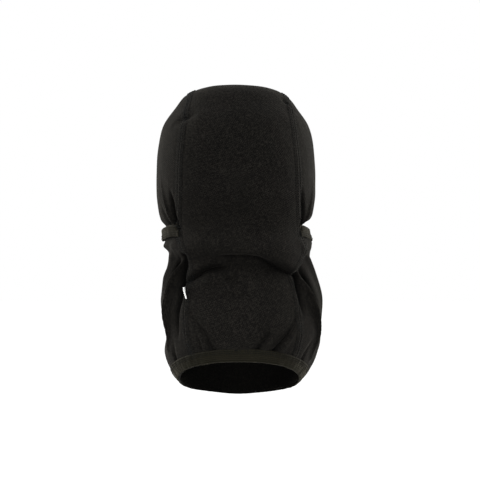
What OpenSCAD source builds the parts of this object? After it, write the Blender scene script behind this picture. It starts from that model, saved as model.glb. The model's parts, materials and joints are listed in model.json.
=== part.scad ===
// Hinged fleece balaclava, as worn: hood, neck and a mask that drops under the chin.
// Frame: +Z up, the face looks along -Y, the wearer's left is +X. The origin is the middle of the
// head at the height of the mask's hinge line.

/* [Hood] */
// Width over the ears
hood_w = 169; // [160:1:176]
// Reach of the hood behind the origin
hood_back = 100; // [96:1:104]
// Reach of the hood in front of the origin
hood_front = 98; // [94:1:102]
// Height of the crown above the hinge line
crown_z = 154; // [148:1:160]
// Height of the widest level above the hinge line
wide_z = 42; // [40:1:46]

/* [Face opening] */
// Half width of the hood's front edge, seen from the front
face_half_w = 72; // [68:1:74]
// Height of the hood's front edge above the middle of the opening
face_rise = 55; // [52:1:60]
// Height of the middle of the opening above the hinge line
face_z = 25; // [22:1:28]

/* [Hem] */
// Drop of the hem below the hinge line at the nape
hem_back = 131; // [126:1:136]
// Drop of the hem below the hinge line under the chin
hem_front = 185; // [178:1:192]
// Extra drop of the hem at the sides
hem_side = 7; // [4:1:10]

/* [Mask] */
// Radius of the mask's front about the hinge line
mask_r = 169.5; // [166:0.5:169.5]
// Half width of the mask
mask_half_w = 74.5; // [73:0.5:74.5]
// Distance of the hinge line behind the origin
hinge_y = 57.7; // [57:0.1:58.5]
// Height of the mask's band at the nose
nose_z = 14; // [8:1:18]
// Angle of the mask's lower edge below the hinge line, in degrees
mask_low = 24; // [22:0.5:25]

/* [Fabric] */
// Thickness of the fleece
fleece_t = 1.8; // [1.4:0.1:2]
// Thickness of the folded binding
binding_t = 2.6; // [2.2:0.1:2.8]
// Width of the binding
binding_w = 13; // [11:0.5:14]
// Width of a flatlock seam
seam_w = 7; // [6:0.5:8]
// Thickness of the stitching over a seam
thread_t = 0.6; // [0.5:0.1:0.8]

/* [Hidden] */

section_power = 2.25;          // squareness of a level section, 2 is an ellipse
crown_power = 3.1;             // squareness of the crown seen from behind
edge_power = 3;                // squareness of the hood's front edge over the brow
mask_power = 2.3;              // squareness of the mask seen from above
crown_rise = crown_z - wide_z;
clear = 0.3;                   // gap between neighbouring pieces
far = 400;                     // larger than the part
neck_gap = 9;                  // top of the neck panel below the hinge line, at the seam
neck_slope = 20;               // slope of the neck panel's top edge, in degrees
hem_power = 0.78;              // shape of the hem seen from the side, 1 is a plain tilt
curl_h = 45;                   // height over which the elastic hem draws the neck in
curl_front = 0.065;            // share that the hem draws in at the front and the nape
curl_side = 0.155;             // and how much more at the sides
strap_r = 7;                   // nearest that the mask's band comes to the hinge line
panel_r = 45;                  // nearest that the mask panel comes to the hinge line
strap_half_w = 60;             // half width at the ends of the mask's band
mask_wide_r = 90;              // distance from the hinge line where the mask is widest
tuck_low = 5;                  // below this height the hood lies inside the mask
tuck_high = 25;                // above this height the hood lies in the outer skin
tuck_gap = 4.8;                // depth of the hood's cheek inside the mask and the neck
tuck_end = -48;                // lower end of the hood's side panels
neck_seam_z = -60;             // level at which the neck panel's upper corners meet the seams
face_rows = [7.5, 3.5, -0.5];  // how far behind the face edge the rows of its binding lie
back_of_edge = [0, 0.8, 0.6];  // the way from the face edge back along the hood
head = [0, 0, 30];             // middle of the head, from which the hood's sides are cast
fleece = [0.10, 0.10, 0.095];
trim = [0.16, 0.15, 0.12];
thread = [0.13, 0.13, 0.12];

// Outlines below the widest level: [height, share of the hood's half width or reach]
side_line = [[-195, 0.94], [-150, 0.975], [-115, 0.99], [-81, 1.03], [-50, 0.99], [-15, 0.925], [6, 0.92],
    [20, 0.97], [wide_z, 1]];
back_line = [[-195, 0.82], [-135, 0.88], [-100, 0.845], [-60, 0.79], [-35, 0.815], [0, 0.935], [wide_z, 1]];
front_line = [[-195, 0.86], [-160, 0.90], [-120, 0.94], [-80, 1.03], [-45, 1.10], [0, 1.06], [wide_z, 1]];
// Half width of the centre panel by height, and over the crown by angle
seam_line = [[-195, 57], [-60, 57], [-30, 58.5], [0, 63], [wide_z, 61]];
crown_seam_line = [[0, 61], [90, 51], [180, 44]];
// Middle of the mask's band, seen from the side: [distance ahead of the hinge line, height]
band_line = [[0, 0], [70, -3], [mask_r - 20, nose_z - 2], [mask_r + 10, nose_z]];
// Front edge of the hood from the seam below the ear up to the brow
cheek_path = [[64, 54, -52], [70, 22, -50], [74, -12, -32], [74, -34, 0], [72, -46, 34], [64, -62, 62]];

// ---- numbers and curves ----

function mix(a, b, t) = a + (b - a) * t;
function signed_power(v, p) = sign(v) * pow(abs(v), p);
function slope_at(line, i) =
    (i == 0 || i == len(line) - 1) ? 0
    : (line[i + 1][1] - line[i - 1][1]) / (line[i + 1][0] - line[i - 1][0]);
function segment(line, v, i = 0) = (i >= len(line) - 2 || v < line[i + 1][0]) ? i : segment(line, v, i + 1);
// Smooth curve through the points of a line
function curve(line, v) =
    let (i = segment(line, v), p = line[i], q = line[i + 1], w = q[0] - p[0],
        t = min(max((v - p[0]) / w, 0), 1), m = slope_at(line, i) * w, n = slope_at(line, i + 1) * w)
    (2 * t * t * t - 3 * t * t + 1) * p[1] + (t * t * t - 2 * t * t + t) * m
    + (3 * t * t - 2 * t * t * t) * q[1] + (t * t * t - t * t) * n;

// ---- the outer skin, taken in by off ----

function crown_share(z, off) =
    z >= crown_z - off ? 0
    : pow(1 - pow((z - wide_z) / (crown_rise - off), crown_power), 1 / crown_power);
function reach(line, size, z, off) =
    z > wide_z ? (size - off) * crown_share(z, off) : size * curve(line, z) - off;
function half_width(z, off) = reach(side_line, hood_w / 2, z, off);
function depth(y, z, off) =
    y >= 0 ? reach(back_line, hood_back, z, off) : reach(front_line, hood_front, z, off);

// Distance out of the skin: below 1 is inside
function level(p, off) =
    p[2] >= crown_z - off ? 2
    : pow(abs(p[0]) / half_width(p[2], off), section_power)
        + pow(abs(p[1]) / depth(p[1], p[2], off), section_power);
// Where the line from o along d leaves the skin
function cast(o, d, off, low = 0.2, high = 1.8, n = 16) =
    let (m = (low + high) / 2)
    n == 0 ? o + d * m
    : level(o + d * m, off) < 1 ? cast(o, d, off, m, high, n - 1) : cast(o, d, off, low, m, n - 1);

// Height of the rim of the hem round the neck, with angle 0 at the nape
function hem_z(a) =
    mix(-hem_front, -hem_back, pow((1 + cos(a)) / 2, hem_power)) - hem_side * pow(sin(a), 2);
function curl(a, z) =
    let (h = max(0, 1 - (z - hem_z(a)) / curl_h))
    1 - (curl_front + curl_side * pow(sin(a), 2)) * h * h;
// Point of the skin at an angle and a height
function skin(a, z, off) =
    let (c = curl(a, z), y = cos(a))
    [c * half_width(z, off) * signed_power(sin(a), 2 / section_power),
        c * depth(y, z, off) * signed_power(y, 2 / section_power), z];
function seam_angle(z, shift = 0) =
    asin(pow((curve(seam_line, z) + shift) / half_width(z, 0), section_power / 2));

// ---- the centre panel and its seams: v is 0 at the hem binding, 1 at the widest level, 2 at the brow ----

function brow_z(x) = face_z + face_rise * pow(1 - pow(abs(x) / face_half_w, edge_power), 1 / edge_power);
// Angle over the crown at which the hood's front edge lies
function brow_angle(x) =
    let (z = brow_z(x),
        y = depth(-1, z, 0) * pow(1 - pow(abs(x) / half_width(z, 0), section_power), 1 / section_power))
    180 - atan2((z - wide_z) / crown_rise, y / hood_front);
// u is -1 and 1 at the seams, and shift moves a point across the seam
function strip(u, v, shift, off) =
    v <= 1
    ? let (a0 = seam_angle(-100) * u, z = mix(hem_z(a0) + binding_w, wide_z, v), a = seam_angle(z, shift) * u)
        skin(a, z, off)
    : let (q = brow_angle(curve(crown_seam_line, 180) * u) * (v - 1),
            x = signed_power(sin(seam_angle(wide_z) * u), 2 / section_power)
                / pow(sin(seam_angle(wide_z)), 2 / section_power)
                * (curve(crown_seam_line, q) + shift))
        cast([x, 0, wide_z], [0, (q > 90 ? hood_front : hood_back) * cos(q), crown_rise * sin(q)], off);

// ---- solids between two grids of points ----

module sheet_solid(outer, inner, ring = false) {
    rows = len(outer);
    cols = len(outer[0]);
    n = rows * cols;
    last = ring ? cols - 1 : cols - 2;
    points = concat([for (row = outer) for (p = row) p], [for (row = inner) for (p = row) p]);
    function at(i, j) = i * cols + j % cols;
    faces = concat(
        [for (i = [0:rows - 2]) for (j = [0:last])
            each [[at(i, j), at(i + 1, j + 1), at(i, j + 1)], [at(i, j), at(i + 1, j), at(i + 1, j + 1)]]],
        [for (i = [0:rows - 2]) for (j = [0:last])
            each [[n + at(i, j), n + at(i, j + 1), n + at(i + 1, j + 1)],
                [n + at(i, j), n + at(i + 1, j + 1), n + at(i + 1, j)]]],
        [for (j = [0:last])
            each [[at(0, j), at(0, j + 1), n + at(0, j + 1)], [at(0, j), n + at(0, j + 1), n + at(0, j)]]],
        [for (j = [0:last]) let (i = rows - 1)
            each [[at(i, j), n + at(i, j + 1), at(i, j + 1)], [at(i, j), n + at(i, j), n + at(i, j + 1)]]],
        ring ? [] : [for (i = [0:rows - 2])
            each [[at(i, 0), n + at(i + 1, 0), at(i + 1, 0)], [at(i, 0), n + at(i, 0), n + at(i + 1, 0)]]],
        ring ? [] : [for (i = [0:rows - 2]) let (j = cols - 1)
            each [[at(i, j), at(i + 1, j), n + at(i + 1, j)], [at(i, j), n + at(i + 1, j), n + at(i, j)]]]);
    polyhedron(points, faces);
}

// ---- hood ----

module centre_panel() {
    cols = 12;
    rows = 34;
    function grid(off) =
        [for (i = [0:rows]) [for (j = [0:cols]) strip(2 * j / cols - 1, 2 * i / rows, -clear, off)]];
    color(fleece) sheet_solid(grid(0), grid(fleece_t));
}

function front_point(x, z, off) =
    let (s = pow(abs(x) / half_width(z, off), section_power))
    [x, -depth(-1, z, off) * pow(max(0, 1 - s), 1 / section_power), z];

// Half width of the skin at a place in its side view
function skin_x(y, z, off) =
    let (s = pow(abs(y) / depth(y, z, off), section_power))
    s >= 1 ? 0 : half_width(z, off) * pow(1 - s, 1 / section_power);
// The same for the hood, which tucks inside the mask and the neck below the ears
function hood_x(y, z, off) =
    let (r = norm([y - hinge_y, z]),
        tucked = min(skin_x(y, z, off + tuck_gap), mask_x(r) - tuck_gap - off),
        t = min(max((z - tuck_low) / (tuck_high - tuck_low), 0), 1))
    mix(tucked, skin_x(y, z, off), t * t * (3 - 2 * t));
// Where the line from the middle of the head through p leaves the hood
function hood_cast(p, off, low = 0.5, high = 1.5, n = 14) =
    let (m = (low + high) / 2, q = mix(head, p, m))
    n == 0 ? q
    : q[0] < hood_x(q[1], q[2], off) ? hood_cast(p, off, m, high, n - 1) : hood_cast(p, off, low, m, n - 1);

// Left side of the hood's front edge, from 0 below the ear to 1 at the brow seam
function face_edge(t) =
    let (path = concat(cheek_path, [strip(1, 2, clear, 0)]), last = len(path) - 1)
    [for (k = [0:2]) curve([for (i = [0:last]) [i / last, path[i][k]]], t)];

module left_hood_panel() {
    cols = 16;
    rows = 24;
    low = hem_z(seam_angle(tuck_end)) + binding_w;
    v0 = (tuck_end - low) / (wide_z - low);
    function grid(off) =
        [for (i = [0:rows]) let (t = i / rows, p = strip(1, mix(v0, 2, t), clear, 0), q = face_edge(t))
            [for (j = [0:cols]) hood_cast(mix(p, q, j / cols), off)]];
    color(fleece) sheet_solid(grid(0), grid(fleece_t));
}

// The whole edge, from 0 under the left ear over the brow to 1 under the right ear, moved back by inset
function rim(s, inset, off) =
    let (q = 1 - abs(2 * s - 1), cheek = 0.8, side = s < 0.5 ? 1 : -1,
        p = q < cheek ? hood_cast(face_edge(q / cheek) + inset * back_of_edge, off)
            : let (x = strip(1, 2, 0, 0)[0] * (1 - q) / (1 - cheek))
                front_point(x, brow_z(x) + inset, off))
    [p[0] * side, p[1], p[2]];
rim_over = (binding_t - fleece_t) / 2;

module face_binding() {
    cols = 60;
    function grid(off) = [for (k = face_rows) [for (j = [0:cols]) rim(j / cols, k, off)]];
    color(trim) sheet_solid(grid(-rim_over), grid(fleece_t + rim_over));
}

// ---- neck ----

function neck_top(a) =
    let (y = (cos(a) > 0 ? hood_back : hood_front) * signed_power(cos(a), 2 / section_power))
    -neck_gap - max(0, hinge_y - y) * tan(neck_slope);

module neck_panel() {
    cols = 44;
    rows = 12;
    function low(a) = hem_z(a) + binding_w;
    function point(s, t, off) =
        let (corner = seam_angle(neck_seam_z), a0 = mix(corner, 360 - corner, s),
            z = mix(low(a0), neck_top(a0), t),
            a = mix(seam_angle(z, clear), 360 - seam_angle(z, clear), s))
        skin(a, z, off);
    function grid(off) = [for (i = [0:rows]) [for (j = [0:cols]) point(1 - j / cols, i / rows, off)]];
    color(fleece) sheet_solid(grid(0), grid(fleece_t));
}

module hem_binding() {
    cols = 56;
    rows = 2;
    function grid(off) =
        [for (i = [0:rows]) [for (j = [0:cols - 1]) let (a = -360 * j / cols)
            skin(a, hem_z(a) + (binding_w - clear) * i / rows, off)]];
    color(trim) sheet_solid(grid(-rim_over), grid(fleece_t + rim_over), ring = true);
}

// ---- mask: turned about the hinge line ----

// Half width of the mask's outer face at a distance from the hinge line
function mask_x(r) =
    r < mask_wide_r
    ? mix(strap_half_w, mask_half_w, sin(90 * max(0, r - strap_r) / (mask_wide_r - strap_r)))
    : mask_half_w
        * pow(max(0, 1 - pow((r - mask_wide_r) / (mask_r - mask_wide_r), mask_power)), 1 / mask_power);
// One side of the mask seen from above, taken in by off: [distance from the hinge line, half width]
function mask_side(from, off) = concat(
    [for (i = [0:5]) let (r = mix(from, mask_wide_r, i / 5)) [r, mask_x(r) - off]],
    [for (q = [7.5:7.5:90]) [mask_wide_r + (mask_r - mask_wide_r - off) * pow(sin(q), 2 / mask_power),
        (mask_half_w - off) * pow(cos(q), 2 / mask_power)]]);
function both_sides(line) =
    concat(line, [for (i = [len(line) - 2:-1:0]) [line[i][0], -line[i][1]]]);

// Cloth between two offsets, turned about the hinge line
module turned(from, outer, inner) {
    out = both_sides(mask_side(from, outer));
    in = both_sides(mask_side(from, inner));
    translate([0, hinge_y, 0]) rotate([0, 90, 0]) rotate_extrude($fn = 120)
        polygon(concat(out, [for (i = [len(in) - 1:-1:0]) in[i]]));
}

// A side view [distance ahead of the hinge line, height], as deep as the part is wide
module side_view(outline) {
    translate([far / 2, hinge_y, 0]) rotate([90, 0, -90]) linear_extrude(far) polygon(outline);
}
past_mask = mask_r + 8;         // beyond the front of the mask
// Strip along the middle of the band, between two heights above it
function along_band(from, low, high) =
    let (steps = [for (i = [0:16]) mix(from, past_mask, i / 16)])
    concat([for (f = steps) [f, curve(band_line, f) + high]],
        [for (i = [len(steps) - 1:-1:0]) [steps[i], curve(band_line, steps[i]) + low]]);

module mask_band() {
    color(trim) intersection() {
        turned(strap_r, -rim_over, fleece_t + rim_over);
        side_view(along_band(strap_r, -binding_w / 2, binding_w / 2));
    }
}

module mask_panel() {
    under = [for (p = along_band(panel_r, -far, -binding_w / 2 - clear)) if (p[1] > -far / 2) p];
    lower_edge = [for (r = [past_mask, panel_r]) [r, -r * tan(mask_low)]];
    color(fleece) intersection() {
        turned(panel_r, 0, fleece_t);
        side_view(concat(under, lower_edge));
    }
}

// ---- stitching ----

module seam_stitching() {
    rows = 60;
    across = [-seam_w / 2, 0, seam_w / 2];
    start = 0.01;
    function grid(off) = [for (i = [0:rows]) [for (s = across) strip(1, mix(start, 2, i / rows), s, off)]];
    color(thread) sheet_solid(grid(-clear - thread_t), grid(-clear));
}

stitch_over = rim_over + clear;                  // height of the stitches over a binding
stitch_lines = [binding_w - 4, binding_w - 2];   // edges of the hem's stitching above its rim
face_lines = [6, 4.5];                           // edges of the face stitching behind the face edge

module hem_stitching() {
    cols = 72;
    function grid(off) =
        [for (h = stitch_lines) [for (j = [0:cols - 1]) let (a = -360 * j / cols)
            skin(a, hem_z(a) + h, off)]];
    color(thread) sheet_solid(grid(-stitch_over - thread_t), grid(-stitch_over), ring = true);
}

module face_stitching() {
    cols = 60;
    function grid(off) = [for (k = face_lines) [for (j = [0:cols]) rim(mix(0.01, 0.99, j / cols), k, off)]];
    color(thread) sheet_solid(grid(-stitch_over - thread_t), grid(-stitch_over));
}

module mask_stitching() {
    color(thread) intersection() {
        turned(panel_r, -stitch_over - thread_t, -stitch_over);
        side_view(along_band(panel_r, 2 - binding_w / 2, 4 - binding_w / 2));
    }
}

// Bar tack over the seam at the end of the mask's band, the pivot of the hinge
module hinge_tack() {
    over = clear + thread_t + clear;
    thick = 1;
    tall = 11;
    wide = 2.4;
    function grid(off) =
        [for (z = [-tall / 2, 0, tall / 2]) [for (s = [-wide / 2, 0, wide / 2])
            skin(seam_angle(z, s), z, off)]];
    color(thread) sheet_solid(grid(-over - thick), grid(-over));
}

// ---- label ----

// Folded tape caught in the seam below the nape
module side_label() {
    low = -72;
    height = 13;
    stands_out = 11;
    thick = 0.7;
    turn = -34;
    translate(skin(seam_angle(low), low, -2 * clear - thread_t)) rotate([0, 0, turn])
        color("white") cube([thick, stands_out, height]);
}

centre_panel();
left_hood_panel();
mirror([1, 0, 0]) left_hood_panel();  // right_hood_panel
neck_panel();
mask_panel();
face_binding();
mask_band();
hem_binding();
seam_stitching();  // left_seam_stitching
mirror([1, 0, 0]) seam_stitching();  // right_seam_stitching
face_stitching();
mask_stitching();
hem_stitching();
hinge_tack();  // left_hinge_tack
mirror([1, 0, 0]) hinge_tack();  // right_hinge_tack
side_label();
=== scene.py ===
"""Hinged fleece balaclava, seen from behind: cloth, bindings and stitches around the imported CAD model."""
import json
import math

import bmesh
import bpy
import numpy as np
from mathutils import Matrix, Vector


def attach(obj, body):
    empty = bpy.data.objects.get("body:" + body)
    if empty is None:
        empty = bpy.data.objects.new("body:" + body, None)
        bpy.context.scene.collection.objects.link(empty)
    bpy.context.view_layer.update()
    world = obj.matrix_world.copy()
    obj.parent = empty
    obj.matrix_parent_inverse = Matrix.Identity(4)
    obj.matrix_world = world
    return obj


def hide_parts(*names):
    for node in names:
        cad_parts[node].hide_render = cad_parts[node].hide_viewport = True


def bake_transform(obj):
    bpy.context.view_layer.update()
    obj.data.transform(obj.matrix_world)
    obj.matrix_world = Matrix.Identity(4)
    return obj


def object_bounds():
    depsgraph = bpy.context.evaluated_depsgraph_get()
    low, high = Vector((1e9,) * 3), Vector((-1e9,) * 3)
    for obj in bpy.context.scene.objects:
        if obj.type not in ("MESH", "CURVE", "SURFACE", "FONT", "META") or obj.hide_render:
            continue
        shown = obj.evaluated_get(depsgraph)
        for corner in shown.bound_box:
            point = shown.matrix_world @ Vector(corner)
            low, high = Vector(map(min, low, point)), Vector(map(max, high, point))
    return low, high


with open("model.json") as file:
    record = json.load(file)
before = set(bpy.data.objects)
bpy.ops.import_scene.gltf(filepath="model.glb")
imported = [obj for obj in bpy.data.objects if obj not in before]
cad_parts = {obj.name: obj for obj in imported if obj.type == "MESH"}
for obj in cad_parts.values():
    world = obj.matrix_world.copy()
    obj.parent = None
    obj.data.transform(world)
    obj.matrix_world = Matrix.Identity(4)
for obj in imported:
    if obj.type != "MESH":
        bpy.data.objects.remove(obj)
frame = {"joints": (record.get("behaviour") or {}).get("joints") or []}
CAD_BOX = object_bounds()

MM = 0.001
CROWN_Z = CAD_BOX[1][2] / MM
HINGE = np.array(frame["joints"][0]["pos_m"]) / MM

# ---- driving sizes, in millimetres: near the part's, and changed a little for the look ----

HOOD_W, HOOD_BACK, HOOD_FRONT, WIDE_Z = 169.0, 100.0, 98.0, 42.0
SECTION_POWER, CROWN_POWER, EDGE_POWER = 2.25, 3.1, 3.0
FACE_HALF_W, FACE_RISE, FACE_Z = 72.0, 55.0, 25.0
HEM_BACK, HEM_FRONT, HEM_SIDE = 130.5, 185.0, 7.0
CURL_H, CURL_FRONT, CURL_SIDE = 45.0, 0.065, 0.155
BINDING_W, BAND_W, FLEECE_T, TAPE_T, NOSE_Z = 13.8, 12.2, 1.7, 0.75, 14.0
HEM_POWER = 0.78
BEVEL_DEPTH, BEVEL_AT, BEVEL_W = 0.05, 0.79, 0.11
SEAM_FOOT_Z, NECK_Z = -100.0, -60.0
CROWN_RISE = CROWN_Z - WIDE_Z
# How the hood sways towards the wearer's left: [shift, height where it starts, height where it ends]
SWAY = [(4.3, -40, 20), (-1.8, -45, -70), (-1.8, -80, -105), (4.4, -105, -130)]

# Outlines below the widest level: [height, share of the hood's half width or reach]
SIDE_LINE = [(-195, 0.94), (-150, 0.975), (-115, 0.955), (-81, 1.002), (-55, 0.965), (-30, 0.895),
             (-15, 0.92), (0, 0.91), (8, 0.93), (20, 0.97), (WIDE_Z, 1)]
BACK_LINE = [(-195, 0.82), (-135, 0.88), (-100, 0.845), (-60, 0.785), (-35, 0.81), (-12, 0.885),
             (5, 0.915), (WIDE_Z, 1)]
FRONT_LINE = [(-195, 0.86), (-160, 0.90), (-120, 0.94), (-80, 1.03), (-45, 1.10), (0, 1.15), (30, 1.16)]
HOOD_FRONT_LINE = [(-80, 0.95), (-20, 1.0), (WIDE_Z, 1)]
# Half width of the centre panel by height, on the wearer's left and right, and over the crown by angle
SEAM_LEFT = [(-195, 52), (-123, 52.4), (-110, 58), (-90, 57.4), (-70, 55.8), (-42, 51), (-27, 51.5),
             (-17, 54.6), (-5, 58.6), (14, 58.7), (WIDE_Z, 57.2)]
SEAM_RIGHT = [(-195, 60), (-122, 60.5), (-111, 58), (-90, 56.9), (-70, 55.4), (-50, 54), (-40, 55.5),
              (-30, 59.9), (-19, 65), (-9, 65), (16, 65), (WIDE_Z, 63.9)]
CROWN_SEAM = [(0, 1.0), (19, 0.985), (36, 0.935), (49, 0.89), (63, 0.84), (90, 0.79), (180, 0.71)]


# ---- numbers and curves ----

def curve(line, v):
    """Smooth curve through the points of a line."""
    x, y = np.array(line, float).T
    v = np.asarray(v, float)
    slope = np.zeros(len(x))
    slope[1:-1] = (y[2:] - y[:-2]) / (x[2:] - x[:-2])
    i = np.clip(np.searchsorted(x, v, side="right") - 1, 0, len(x) - 2)
    w = x[i + 1] - x[i]
    t = np.clip((v - x[i]) / w, 0, 1)
    return ((2 * t ** 3 - 3 * t ** 2 + 1) * y[i] + (t ** 3 - 2 * t ** 2 + t) * slope[i] * w
            + (3 * t ** 2 - 2 * t ** 3) * y[i + 1] + (t ** 3 - t ** 2) * slope[i + 1] * w)


def smooth(low, high, v):
    """0 at low, 1 at high, with an easy start and end."""
    t = np.clip((v - low) / (high - low), 0, 1)
    return t * t * (3 - 2 * t)


def spow(v, p):
    """Power that keeps the sign."""
    return np.sign(v) * np.abs(v) ** p


def mix(a, b, t):
    return a + (b - a) * t


def unit(v):
    return v / np.maximum(np.linalg.norm(v, axis=-1, keepdims=True), 1e-9)


RIPPLE_WAVES, RIPPLE_SUM = 7, 4.2


def ripple(p, size, seed):
    """Smooth repeatable noise, mostly from -1 to 1, over points, with waves about size long."""
    rng = np.random.default_rng(seed)
    total = np.zeros(len(p))
    for _ in range(RIPPLE_WAVES):
        d = rng.normal(size=3)
        d *= 2 * math.pi / (size * (0.6 + 0.9 * rng.random()) * np.linalg.norm(d))
        total += np.sin(p @ d + rng.random() * 2 * math.pi)
    return total / RIPPLE_SUM


# ---- the smooth skin ----

def crown_share(z):
    """Share of the widest level's width and reach that is left at a height on the crown."""
    t = np.clip((z - WIDE_Z) / CROWN_RISE, 0, 1)
    bevel = BEVEL_DEPTH * np.exp(-((t - BEVEL_AT) / BEVEL_W) ** 2)
    return (1 - t ** CROWN_POWER) ** (1 / CROWN_POWER) * (1 - bevel)


def sway(z):
    """The hood leans a little to the wearer's left over the neck."""
    return sum(shift * smooth(start, end, z) for shift, start, end in SWAY)


def half_width(z):
    return HOOD_W / 2 * np.where(z > WIDE_Z, crown_share(z), curve(SIDE_LINE, z))


def depth(y, z, front=FRONT_LINE):
    """Reach of the skin at a height: behind where y is positive, in front where it isn't."""
    low = np.where(y >= 0, HOOD_BACK * curve(BACK_LINE, z), HOOD_FRONT * curve(front, z))
    high = np.where(y >= 0, HOOD_BACK, HOOD_FRONT) * crown_share(z)
    return np.where(z > WIDE_Z, high, low)


def hem_z(a):
    """Height of the hem's edge at an angle round from the nape."""
    return mix(-HEM_FRONT, -HEM_BACK, ((1 + np.cos(a)) / 2) ** HEM_POWER) - HEM_SIDE * np.sin(a) ** 2


def curl(a, z):
    """The skin's share of its width near the hem, which the binding draws in."""
    h = np.maximum(0, 1 - (z - hem_z(a)) / CURL_H)
    return 1 - (CURL_FRONT + CURL_SIDE * np.sin(a) ** 2) * h * h


def skin(a, z, inset=0.0):
    """Point of the skin at an angle round from the nape, towards +X, and a height."""
    c, y = curl(a, z), np.cos(a)
    return np.stack([c * (half_width(z) - inset) * spow(np.sin(a), 2 / SECTION_POWER) + sway(z),
                     c * (depth(y, z) - inset) * spow(y, 2 / SECTION_POWER), z + 0 * a], -1)


def seam_angle(side, z, shift=0.0):
    line = SEAM_LEFT if side > 0 else SEAM_RIGHT
    return side * np.arcsin(((curve(line, z) + shift) / half_width(z)) ** (SECTION_POWER / 2))


def brow_z(x):
    return FACE_Z + FACE_RISE * (1 - (np.abs(x) / FACE_HALF_W) ** EDGE_POWER) ** (1 / EDGE_POWER)


def front_reach(x, z):
    """How far forward the hood's skin is at a place across and a height."""
    across = (np.abs(x) / half_width(z)) ** SECTION_POWER
    return depth(-1, z, HOOD_FRONT_LINE) * (1 - across) ** (1 / SECTION_POWER)


def brow_angle(x):
    z = brow_z(x)
    return math.pi - np.arctan2((z - WIDE_Z) / CROWN_RISE, front_reach(x, z) / HOOD_FRONT)


def strip(u, v, shift=0.0):
    """The centre panel: u is -1 and 1 at the seams; v is 0 at the hem's tape, 1 at WIDE_Z, 2 at the brow."""
    u, v = np.broadcast_arrays(np.asarray(u, float), np.asarray(v, float))
    side = np.where(u >= 0, 1, -1)

    def angle(z, s):
        return np.abs(u) * np.where(side > 0, seam_angle(1, z, s), seam_angle(-1, z, s))

    a_low = angle(np.full(u.shape, SEAM_FOOT_Z), 0)
    z = mix(hem_z(a_low) + BINDING_W, WIDE_Z, np.minimum(v, 1))
    low = skin(angle(z, shift), z)
    # over the crown
    seam_x = np.where(side > 0, SEAM_LEFT[-1][1], SEAM_RIGHT[-1][1])
    wide = np.full(u.shape, WIDE_Z)
    across = spow(np.sin(angle(wide, 0)), 2 / SECTION_POWER) / spow(np.sin(np.where(
        side > 0, seam_angle(1, wide), -seam_angle(-1, wide))), 2 / SECTION_POWER)
    across = np.abs(across) * side
    brow_x = np.abs(across) * seam_x * CROWN_SEAM[-1][1]
    q = brow_angle(brow_x) * np.maximum(v - 1, 0)
    x = across * (seam_x * curve(CROWN_SEAM, np.degrees(q)) + shift)
    reach = np.where(q > math.pi / 2, HOOD_FRONT, HOOD_BACK)
    d = np.stack([0 * q, reach * np.cos(q), CROWN_RISE * np.sin(q)], -1)
    o = np.stack([x, 0 * x, wide], -1)
    lo, hi = np.full(u.shape, 0.2), np.full(u.shape, 1.8)
    for _ in range(26):
        m = (lo + hi) / 2
        p = o + d * m[..., None]
        share = crown_share(p[..., 2])
        with np.errstate(divide="ignore", invalid="ignore"):
            reach = np.where(p[..., 1] >= 0, HOOD_BACK, HOOD_FRONT)
            inside = (np.abs(p[..., 0]) / (HOOD_W / 2 * share)) ** SECTION_POWER \
                + (np.abs(p[..., 1]) / (reach * share)) ** SECTION_POWER < 1
        inside &= p[..., 2] < CROWN_Z
        lo, hi = np.where(inside, m, lo), np.where(inside, hi, m)
    high = o + d * lo[..., None] + np.stack([sway(wide), 0 * x, 0 * x], -1)
    return np.where((v <= 1)[..., None], low, high)


def normals(grid, ring=False):
    """Unit normals of a grid of points, rows by columns."""
    du = np.gradient(grid, axis=0)
    dv = (np.roll(grid, -1, 1) - np.roll(grid, 1, 1)) if ring else np.gradient(grid, axis=1)
    return unit(np.cross(du, dv))


# ---- folds: each follows points (degrees round from the nape, height) on the skin ----

class Fold:
    """A ridge, or a valley where heights are negative; pull also moves it, by that share of the height."""

    CREST, FALL = 0.3, 1.6

    def __init__(self, points, heights, width, sharp=False, pull=(0, 0, 0)):
        a, z = np.radians([p[0] for p in points]), np.array([p[1] for p in points], float)
        t = np.linspace(0, len(points) - 1, 8 * (len(points) - 1) + 1)
        k = np.arange(len(points))
        self.line = skin(curve(list(zip(k, a)), t), curve(list(zip(k, z)), t))
        self.height = curve(list(zip(np.linspace(0, len(points) - 1, len(heights)), heights)), t)
        self.width, self.sharp, self.pull = width, sharp, np.array(pull, float)

    def at(self, p):
        """Height of the fold at points p."""
        best, height = np.full(len(p), 1e9), np.zeros(len(p))
        for i in range(len(self.line) - 1):
            s, e = self.line[i], self.line[i + 1]
            d = e - s
            t = np.clip(((p - s) @ d) / (d @ d), 0, 1)
            gap = np.linalg.norm(p - s - t[:, None] * d, axis=1)
            near = gap < best
            best = np.where(near, gap, best)
            height = np.where(near, mix(self.height[i], self.height[i + 1], t), height)
        r = best / self.width
        if self.sharp:
            return height * np.exp(-np.sqrt(r * r + self.CREST ** 2) * self.FALL + self.CREST * self.FALL)
        return height * np.exp(-r * r)


def relief(p, n, folds):
    """Points p moved out along their normals n by the folds."""
    out, pull = np.zeros(len(p)), np.zeros((len(p), 3))
    for f in folds:
        h = f.at(p)
        out += h
        pull += np.abs(h[:, None]) * f.pull
    return p + n * out[:, None] + pull


def uneven(p):
    """Small unevenness of worn cloth at points."""
    return 0.25 * ripple(p, 26, 3)


def shaped(grid, folds):
    """A grid of skin points with folds and a little unevenness."""
    flat, n = grid.reshape(-1, 3), normals(grid).reshape(-1, 3)
    return (relief(flat, n, folds) + n * uneven(flat)[:, None]).reshape(grid.shape)


# ---- meshes ----

# Marks the inner face in the stored distances, in millimetres, so that the material can tell it
INNER_MARK = 100.0


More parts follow.
